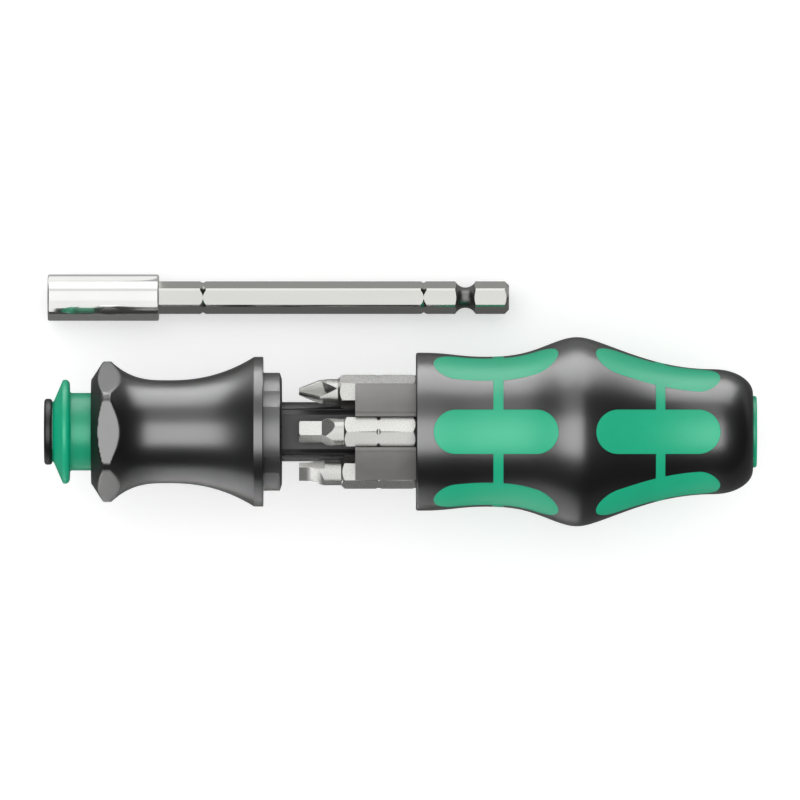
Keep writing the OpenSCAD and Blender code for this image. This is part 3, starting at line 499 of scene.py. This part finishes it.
# %% Outline of the front grip
GRIP_FACE_R, FRONT_RIM_R, GRIP_WAIST_R, REAR_RIM_R = 11.4, 15.1, 11.08, 16.1
FRONT_RIM_S, GRIP_WAIST_S0, GRIP_WAIST_S1 = 2.3, 15.9, 16.9  # behind the grip's face
RIM_W, FRONT_LEAN, REAR_LEAN, REAR_RIM_EDGE = 2.0, 2.7, 2.25, 0.15
FACE_EDGE, FACE_EDGE_R, CONE_STEPS = 0.15, 0.2, 10
RIM_EDGE, RIM_EDGE_R, RIM_START = 0.1, 0.25, 0.2
COLLAR_BORE_R, CHUCK_BORE_R, SPIGOT_BORE_R = 8.55, 8.25, 8.65
CHUCK_BORE_X0, CHUCK_BORE_X1 = 18, 30.05
RIM_STEP, CONCAVE_STEP, FLARE_STEP, GRIP_TURN_STEPS = 0.25, 0.3, 0.4, 360

grip_front, grip_back = (corner.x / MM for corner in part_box("grip_shell"))
front_rim_x = grip_front + FRONT_RIM_S
waist_x0, waist_x1 = grip_front + GRIP_WAIST_S0, grip_front + GRIP_WAIST_S1
rear_rim_x = grip_back - RIM_W


def grip_radius(x):
    """Radius along the concave waist between the two rims."""
    if x < waist_x0:
        share = (waist_x0 - x) / (waist_x0 - front_rim_x - RIM_W)
        return GRIP_WAIST_R + (FRONT_RIM_R - GRIP_WAIST_R) * share ** FRONT_LEAN
    if x < waist_x1:
        return GRIP_WAIST_R
    share = (x - waist_x1) / (rear_rim_x - waist_x1)
    return GRIP_WAIST_R + (REAR_RIM_R - GRIP_WAIST_R) * share ** REAR_LEAN


cone_l = front_rim_x + RIM_EDGE - grip_front - FACE_EDGE
cone_rise = FRONT_RIM_R - RIM_EDGE_R - GRIP_FACE_R
cone = [(grip_front + FACE_EDGE + cone_l * i / CONE_STEPS,
         GRIP_FACE_R + cone_rise * i / CONE_STEPS) for i in range(CONE_STEPS + 1)]
grip_line = (
    [(grip_front, COLLAR_BORE_R), (grip_front, GRIP_FACE_R - FACE_EDGE_R)] + cone
    + [(x, FRONT_RIM_R)
       for x in spaced(front_rim_x + RIM_START, front_rim_x + RIM_W, RIM_STEP)]
    + [(x, grip_radius(x)) for x in spaced(front_rim_x + RIM_W, waist_x0, CONCAVE_STEP)
       + spaced(waist_x0, rear_rim_x, FLARE_STEP)]
    + arc((grip_back - REAR_RIM_EDGE, REAR_RIM_R - REAR_RIM_EDGE), REAR_RIM_EDGE, 90, 0)
    + [(grip_back, SPIGOT_BORE_R), (CHUCK_BORE_X1, SPIGOT_BORE_R), (CHUCK_BORE_X1, CHUCK_BORE_R),
       (CHUCK_BORE_X0, CHUCK_BORE_R), (CHUCK_BORE_X0, COLLAR_BORE_R)])

# %% Six flats on the grip
FLAT_AF, FLAT_BLEND, FLAT_SOFTNESS, OUTSIDE_R = 27.0, 0.22, 0.25, 9
FLAT_TURN, GRIP_CREASE = 60, 24

grip_bm = spun(grip_line, steps=GRIP_TURN_STEPS)
for v in grip_bm.verts:
    r = math.hypot(v.co.y, v.co.z) / MM
    if r > OUTSIDE_R and v.co.x / MM < waist_x0:
        turn = math.degrees(math.atan2(v.co.z, v.co.y)) % FLAT_TURN - FLAT_TURN / 2
        limit = FLAT_AF / 2 / math.cos(math.radians(turn))
        nearness = 1 - abs((limit - r) / FLAT_BLEND)
        kept = min(r, limit) - (FLAT_SOFTNESS * FLAT_BLEND * nearness ** 2 if nearness > 0 else 0)
        v.co.y *= kept / r
        v.co.z *= kept / r
grip = smoothed(piece_from(grip_bm, "front_grip"), crease=GRIP_CREASE)
dressed(grip, black_polyamide, "magazine", "grip_shell")

# %% [markdown]
# ## The lock collar, the nose ring and the blade's sleeve
# These are turned parts as well. The collar's cone ends in a rounded rim that a thumb pushes
# back, and its neck has a small fillet at the rim.

# %% Lock collar
COLLAR_R, NECK_R, RIM_ROUND, NECK_FILLET = 11.2, 8.35, 1.0, 0.5
FLANGE_L, COLLAR_FRONT_R, COLLAR_EDGE, CONE_TURN = 3.7, 6.7, 0.3, 122
CHUCK_R, SLIDE_GAP = 6.0, 0.1

collar_x0, collar_x1 = (corner.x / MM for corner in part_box("lock_collar"))
collar_rim_x = collar_x0 + FLANGE_L
collar_line = (
    [(collar_x0, CHUCK_R + SLIDE_GAP), (collar_x0, COLLAR_FRONT_R - COLLAR_EDGE),
     (collar_x0 + COLLAR_EDGE, COLLAR_FRONT_R)]
    + arc((collar_rim_x - RIM_ROUND, COLLAR_R - RIM_ROUND), RIM_ROUND, CONE_TURN, 0, steps=20)
    + arc((collar_rim_x + NECK_FILLET, NECK_R + NECK_FILLET), NECK_FILLET, 180, 270)
    + [(collar_x1, NECK_R), (collar_x1, CHUCK_R + SLIDE_GAP)])
collar = piece_from(spun(collar_line), "thumb_collar")
dressed(smoothed(collar), green_trim_plastic, "collar", "lock_collar")

# %% Nose ring
RING_R, RING_IN_R, RING_ROUND = 7.1, 5.45, 0.65

ring_x0, ring_x1 = (corner.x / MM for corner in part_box("nose_ring"))
ring_line = (arc((ring_x0 + RING_ROUND, RING_R - RING_ROUND), RING_ROUND, 180, 90, steps=12)
             + arc((ring_x1 - RING_ROUND, RING_R - RING_ROUND), RING_ROUND, 90, 0, steps=12)
             + [(ring_x1, RING_IN_R), (ring_x0, RING_IN_R)])
nose = piece_from(spun(ring_line), "rubber_nose_ring")
dressed(smoothed(nose), nitrile_rubber, "magazine", "nose_ring")

# %% Polished sleeve with its hexagonal socket
SLEEVE_R, SLEEVE_EDGE, SOCKET_AF, SHAFT_HOLE_AF = 5.0, 0.4, 6.55, 6.4
MAGNET_HOLE_R, MAGNET_SPARE, END_SPARE = 2.65, 0.5, 1

sleeve_low, sleeve_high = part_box("blade_sleeve")
magnet_low, magnet_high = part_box("blade_magnet")
sleeve_x0, sleeve_x1 = sleeve_low.x / MM, sleeve_high.x / MM
magnet_x0, magnet_x1 = magnet_low.x / MM, magnet_high.x / MM
blade_axis = Vector((0, (sleeve_low.y + sleeve_high.y) / 2, (sleeve_low.z + sleeve_high.z) / 2))
sleeve_line = ([(sleeve_x0, 0)]
               + arc((sleeve_x0 + SLEEVE_EDGE, SLEEVE_R - SLEEVE_EDGE), SLEEVE_EDGE, 180, 90)
               + arc((sleeve_x1 - SLEEVE_EDGE, SLEEVE_R - SLEEVE_EDGE), SLEEVE_EDGE, 90, 0)
               + [(sleeve_x1, 0)])
sleeve = piece_from(spun(sleeve_line), "polished_sleeve")
socket = prism(6, SOCKET_AF / math.sqrt(3), sleeve_x0 - END_SPARE, magnet_x0)
shaft_hole = prism(6, SHAFT_HOLE_AF / math.sqrt(3), magnet_x1, sleeve_x1 + END_SPARE)
magnet_hole = prism(48, MAGNET_HOLE_R, magnet_x0 - MAGNET_SPARE, magnet_x1 + MAGNET_SPARE)
combined(sleeve, [piece_from(socket, "socket_tool"), piece_from(shaft_hole, "shaft_tool"),
                  piece_from(magnet_hole, "magnet_tool")], "DIFFERENCE")
sleeve.data.transform(Matrix.Translation(blade_axis))
dressed(smoothed(sleeve), polished_nickel, "blade", "blade_sleeve")

# %% [markdown]
# ## Machined and moulded pieces with worked edges
# No real edge is perfectly sharp, and it is the narrow bevel that catches the light. The frame's
# own meshes have the right form, so a copy of each is merged into faces and its edges are broken
# by the width that its making leaves: a ground bit less than a moulded rack. Weighted normals
# then keep the shading of the bevels off the flats.

# %% Edge-broken copies
SAME_POINT_M, NO_LENGTH_M = 2e-6, 1e-6
SAME_FLAT, ROUND_STEP, WORKED_TURN = 0.6, 18.5, 28  # degrees between two faces
SHORTEST_MM = 0.8


def edge_broken(node, name, edge_mm):
    """A copy of a frame node with its faces joined up and its longer sharp edges bevelled."""
    bm = bmesh.new()
    bm.from_mesh(frame["nodes"][node].data)
    bmesh.ops.remove_doubles(bm, verts=bm.verts, dist=SAME_POINT_M)
    bmesh.ops.dissolve_degenerate(bm, edges=bm.edges, dist=NO_LENGTH_M)
    bmesh.ops.dissolve_limit(bm, angle_limit=math.radians(SAME_FLAT), verts=bm.verts,
                             edges=bm.edges, use_dissolve_boundaries=False, delimit={"NORMAL"})
    for edge in bm.edges:
        edge.smooth = edge.calc_face_angle(0) < math.radians(ROUND_STEP)
    for face in bm.faces:
        face.smooth = any(edge.smooth for edge in face.edges)
    worked = [edge for edge in bm.edges if edge.calc_face_angle(0) > math.radians(WORKED_TURN)
              and edge.calc_length() > SHORTEST_MM * MM]
    bmesh.ops.bevel(bm, geom=worked, affect="EDGES", offset_type="OFFSET", offset=edge_mm * MM,
                    segments=2, profile=0.5, clamp_overlap=True, material=-1)
    piece = piece_from(bm, name)
    piece.modifiers.new("level_flats", "WEIGHTED_NORMAL").keep_sharp = True
    return piece


# %% The worked pieces
# node, name of the piece, width of its broken edges, finish, body, slot
worked_kinds = [
    ("magazine_core", "splined_core_tube", 0.12, core_polyamide, "magazine", "inner_black"),
    ("bit_rack", "rack_moulding", 0.12, rack_polyamide, "magazine", "rack_grey"),
    ("chuck_body", "chuck_nose", 0.04, satin_nickel, "magazine", "shaft_steel"),
    ("blade_shaft", "hexagon_shaft", 0.06, satin_nickel, "blade", "shaft_steel"),
    ("end_button", "push_button", 0.12, green_trim_plastic, "button", "green_trim"),
]
bit_nodes = ("bit_cross", "bit_square", "bit_slotted", "bit_ribbed_cross", "bit_hexagon",
             "bit_six_lobe")
worked_kinds += [(bit, bit + "_ground", 0.07, blasted_steel, bit, "bit_steel")
                 for bit in bit_nodes]
worked_pieces = {node: dressed(edge_broken(node, name, edge_mm), material, body, node)
                 for node, name, edge_mm, material, body, slot in worked_kinds}

# %% [markdown]
# Two pieces have painted shade along a part of their length, given as a second material. The
# core's tube between the bits is a duller copy of the stub's shiny black, which paints the shade
# that it lies in. The blade's groove is darker and rougher than the satin nickel round it, and its
# darker colour is painted shade in the groove.

# %% Painted shade along part of two pieces
STUB_L = 3.9
GROOVE_FROM_END, GROOVE_HALF = 9.5, 2.6


def shade_painted_between(piece, material, start_mm, end_mm):
    """Gives the faces between two places along the tool a second material, which paints shade on
    them.
    """
    piece.data.materials.append(material)
    for face in piece.data.polygons:
        face.material_index = int(start_mm < face.center.x / MM < end_mm)


# The tube is seen up to the handle's mouth. The blade's end lies behind that, so it ends there.
shaft_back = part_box("blade_shaft")[1].x / MM
groove_x = shaft_back - GROOVE_FROM_END
# Painted shade: the core's tube between the bits gets the duller copy of its black.
shade_painted_between(worked_pieces["magazine_core"], tube_polyamide, grip_back + STUB_L, shaft_back)
# Painted shade: the blade's groove gets the darker steel.
shade_painted_between(worked_pieces["blade_shaft"], shaded_groove_steel, groove_x - GROOVE_HALF,
           groove_x + GROOVE_HALF)

# %% [markdown]
# ## Hidden pieces
# The clip, springs, balls, housing, pin and magnet keep the frame's own meshes, since they are
# seen only when a piece moves. They still get the finish that they have in life.

# %% Finishes of the frame's own meshes
inside = {
    "latch_housing": core_polyamide, "latch_clip": spring_wire, "button_spring": spring_wire,
    "tail_pin": satin_nickel, "lock_balls": polished_nickel, "collar_spring": spring_wire,
    "blade_magnet": sintered_magnet,
}
for name, material in inside.items():
    materials = frame["nodes"][name].data.materials
    materials.clear()
    materials.append(material)
print("inside pieces", len(inside))

# %% [markdown]
# ## Table
# The table is a pale sheet that the camera sees as white, while it still takes the tool's shadow.
# Shiny pieces see a painted reflection in it rather than its lit colour, a glow painted by its
# place: painted shade as far as the blade, where tool and blade would stand in each other's light,
# half bright beyond the blade, and a painted white card beyond the sleeve.
# Both edges are given as distances from the tool's line.

# %% Pale sheet
TABLE_HALF_M = 3.0

table_bm = bmesh.new()
bmesh.ops.create_grid(table_bm, x_segments=1, y_segments=1, size=TABLE_HALF_M)
bmesh.ops.translate(table_bm, verts=table_bm.verts, vec=(view_centre_x * MM, 0, cad_low.z))
table = piece_from(table_bm, "table")

# %% Paper as the camera sees it and as the pieces are lit by it
FIBRE_MM, FIBRE_DEPTH_MM, CAMERA_LIFT = 0.8, 0.01, 0.45
WHITE = (1, 1, 1, 1)

paper = bpy.data.materials.new("pale_paper")
tree = emptied(paper)
rays = add_node(tree, "ShaderNodeLightPath")
place = add_node(tree, "ShaderNodeTexCoord").outputs["Object"]
fibre = add_node(tree, "ShaderNodeTexNoise",
                 {"Vector": place, "Scale": grains_of(FIBRE_MM), "Detail": 3.0})
rise = add_node(tree, "ShaderNodeBump",
                {"Height": fibre.outputs["Fac"], "Distance": FIBRE_DEPTH_MM * MM})
lit = add_node(tree, "ShaderNodeBsdfDiffuse",
               {"Color": linear("#D8D8D8"), "Normal": rise.outputs["Normal"]})
lift = add_node(tree, "ShaderNodeEmission", {"Color": WHITE, "Strength": CAMERA_LIFT})
seen = add_node(tree, "ShaderNodeAddShader", {0: lit.outputs["BSDF"], 1: lift.outputs["Emission"]})

# %% Painted reflection: the paper as shiny pieces see it
# Levels of the painted reflection: painted shade up to the blade, half bright beyond it, and a
# painted white card beyond the sleeve.
BLADE_EDGE, PAINTED_CARD_EDGE = (33, 37), (39.5, 42.5)
PAINTED_CARD_END = 0.5
PAINTED_SHADE_LEVEL, BEYOND_LEVEL, PAINTED_CARD_LEVEL = 0.18, 0.5, 1.25


def ramp(tree, along, start_mm, end_mm, **ends):
    """A level that rises from 0 to 1 between two places, unless other ends are given."""
    return add_node(tree, "ShaderNodeMapRange",
                    {"Value": along, "From Min": start_mm * MM, "From Max": end_mm * MM,
                     **{"To " + end: level for end, level in ends.items()}}).outputs["Result"]


where = add_node(tree, "ShaderNodeSeparateXYZ", {"Vector": place})
beyond = ramp(tree, where.outputs["Y"], *BLADE_EDGE)
by_sleeve = ramp(tree, where.outputs["X"], sleeve_x1, sleeve_x1 + PAINTED_CARD_END, Min=1.0, Max=0.0)
off_blade = ramp(tree, where.outputs["Y"], *PAINTED_CARD_EDGE)
painted_card = add_node(tree, "ShaderNodeMath", {0: by_sleeve, 1: off_blade}, operation="MULTIPLY")
open_table = add_node(tree, "ShaderNodeMix",
                      {"Factor": painted_card.outputs["Value"], "A": BEYOND_LEVEL, "B": PAINTED_CARD_LEVEL})
glow = add_node(tree, "ShaderNodeMix",
                {"Factor": beyond, "A": PAINTED_SHADE_LEVEL, "B": open_table.outputs["Result"]})
# Painted reflection: glossy rays see this glow in place of the lit paper, so shiny pieces show
# painted shade and a painted white card.
mirrored = add_node(tree, "ShaderNodeEmission",
                    {"Color": WHITE, "Strength": glow.outputs["Result"]})
plain = add_node(tree, "ShaderNodeMixShader",
                 {"Fac": rays.outputs["Is Glossy Ray"], 1: lit.outputs["BSDF"],
                  2: mirrored.outputs["Emission"]})
sheet = add_node(tree, "ShaderNodeMixShader",
                 {"Fac": rays.outputs["Is Camera Ray"], 1: plain.outputs["Shader"],
                  2: seen.outputs["Shader"]})
add_node(tree, "ShaderNodeOutputMaterial", {"Surface": sheet.outputs["Shader"]})
table.data.materials.append(paper)

# %% [markdown]
# ## Light
# Two kinds of light are set apart here, as in a catalogue studio. An even white world and one
# soft key light show every colour at the level at which it is written. The bright bands on turned
# surfaces are mirrored boxes, which only glossy rays see.
# Black plastic mirrors a twentieth of what bare steel does. One exposure would leave the plastic
# without form or burn the steel out, so a studio joins two. Light linking does the same here: the
# strong boxes are for plastic pieces and the weaker ones for metal pieces.

# %% World
WORLD_LEVEL, MIRRORED_WORLD, BACKGROUND_LEVEL = 1.05, 0.02, 1.0

world = bpy.data.worlds.new("white_studio")
bpy.context.scene.world = world
tree = emptied(world)
rays = add_node(tree, "ShaderNodeLightPath")
calm = add_node(tree, "ShaderNodeMix",
                {"Factor": rays.outputs["Is Glossy Ray"], "A": WORLD_LEVEL, "B": MIRRORED_WORLD})
clear = add_node(tree, "ShaderNodeMath",
                 {0: rays.outputs["Is Camera Ray"], 1: rays.outputs["Is Transmission Ray"]},
                 operation="MAXIMUM")
level = add_node(tree, "ShaderNodeMix",
                 {"Factor": clear.outputs["Value"], "A": calm.outputs["Result"],
                  "B": BACKGROUND_LEVEL})
light = add_node(tree, "ShaderNodeBackground",
                 {"Color": WHITE, "Strength": level.outputs["Result"]})
add_node(tree, "ShaderNodeOutputWorld", {"Surface": light.outputs["Background"]})

# %% Key light
KEY_FROM = Vector((-0.5, 0.6, 1.0)).normalized()
KEY_DISTANCE_M, KEY_SIDE_M, KEY_LEVEL = 0.9, 0.5, 0.8


def area_box(name, towards, middle_x, distance, length, width, level):
    """Area light in a direction from the tool. At level 1 it is as bright as white paper."""
    lamp = bpy.data.lights.new(name, "AREA")
    lamp.shape = "RECTANGLE"
    lamp.size, lamp.size_y = length, width
    lamp.energy = level * math.pi * length * width
    made = bpy.data.objects.new(name, lamp)
    bpy.context.scene.collection.objects.link(made)
    along = Vector((1, 0, 0))
    along = (along - towards * along.dot(towards)).normalized()
    turned = Matrix((along, towards.cross(along), towards)).transposed().to_4x4()
    made.matrix_world = Matrix.Translation(Vector((middle_x, 0, 0)) + towards * distance) @ turned
    made.visible_camera = False
    return made


key = area_box("key", KEY_FROM, view_centre_x * MM, KEY_DISTANCE_M, KEY_SIDE_M, KEY_SIDE_M,
               KEY_LEVEL)
key.visible_glossy = False

# %% [markdown]
# Each mirrored box is given by the turns round the tool between which it stands: zero is straight
# up and ninety degrees is level, on the blade's side. Some boxes reach below the table's edge.
# The table is kept out of their blockers, so they still draw the band along a lower flank. A ray
# that leaves such a flank would meet the table first, so these boxes leave out multiple
# importance sampling, which would count on that ray for a share of their light.

# %% Which pieces mirror which boxes
steels = {blasted_steel, satin_nickel, polished_nickel, spring_wire, sintered_magnet}
metal_pieces = bpy.data.collections.new("metal_pieces")
plastic_pieces = bpy.data.collections.new("plastic_pieces")
all_pieces = bpy.data.collections.new("all_pieces")
grip_pieces = bpy.data.collections.new("grip_pieces")
bit_pieces = bpy.data.collections.new("bit_pieces")
for piece in (grip, worked_pieces["magazine_core"]):
    grip_pieces.objects.link(piece)
for node in bit_nodes:
    bit_pieces.objects.link(worked_pieces[node])
for piece in bpy.data.objects:
    if piece.type == "MESH" and piece is not table and piece.data.materials:
        kind = metal_pieces if piece.data.materials[0] in steels else plastic_pieces
        kind.objects.link(piece)
        all_pieces.objects.link(piece)

# %% Mirrored boxes
BOX_DISTANCE_M = 3.0
# name, first and last turn in degrees, level, pieces, reach along X to the front and the back
# per metre of distance
STUDIO_BOXES = (
    ("plastic_overhead", -30, 19, 7.2, plastic_pieces, 0.9, 0.34),
    ("plastic_between", 19, 64, 1.8, plastic_pieces, 0.66, 0.31),
    ("plastic_beside", 62, 112, 6.8, plastic_pieces, 0.66, 0.6),
    ("plastic_far_side", -142, -86, 1.3, plastic_pieces, 1.0, 0.05),
    ("grip_far_side", -142, -86, 0.8, grip_pieces, 1.0, 0.6),
    ("metal_slope", -75, -14, 1.2, metal_pieces, 0.85, 0.6),
    ("metal_overhead", -14, 33, 1.35, metal_pieces, 0.6, 0.6),
    ("metal_gap", 33, 47, 1.0, metal_pieces, 0.6, 0.6),
    ("metal_beside", 47, 89, 1.6, metal_pieces, 0.6, 0.6),
    ("bits_low", 91, 135, 0.35, bit_pieces, 0.85, 0.6),
    ("bits_low_front", -140, -91, 1.4, bit_pieces, 1.3, -0.15),
)
for name, start, end, level, seen_by, front, back in STUDIO_BOXES:
    middle = math.radians(start + end) / 2
    width = 2 * BOX_DISTANCE_M * math.tan(math.radians(end - start) / 2)
    middle_x = view_centre_x * MM + (back - front) / 2 * BOX_DISTANCE_M
    towards = Vector((0, math.sin(middle), math.cos(middle)))
    box = area_box(name, towards, middle_x, BOX_DISTANCE_M, (front + back) * BOX_DISTANCE_M,
                   width, level)
    box.visible_diffuse = False
    box.light_linking.receiver_collection = seen_by
    box.light_linking.blocker_collection = all_pieces
    box.data.cycles.use_multiple_importance_sampling = -90 < start and end < 90
print("mirrored boxes", len(STUDIO_BOXES))

# %% Close the scene
bpy.context.scene.view_settings.view_transform = "Standard"
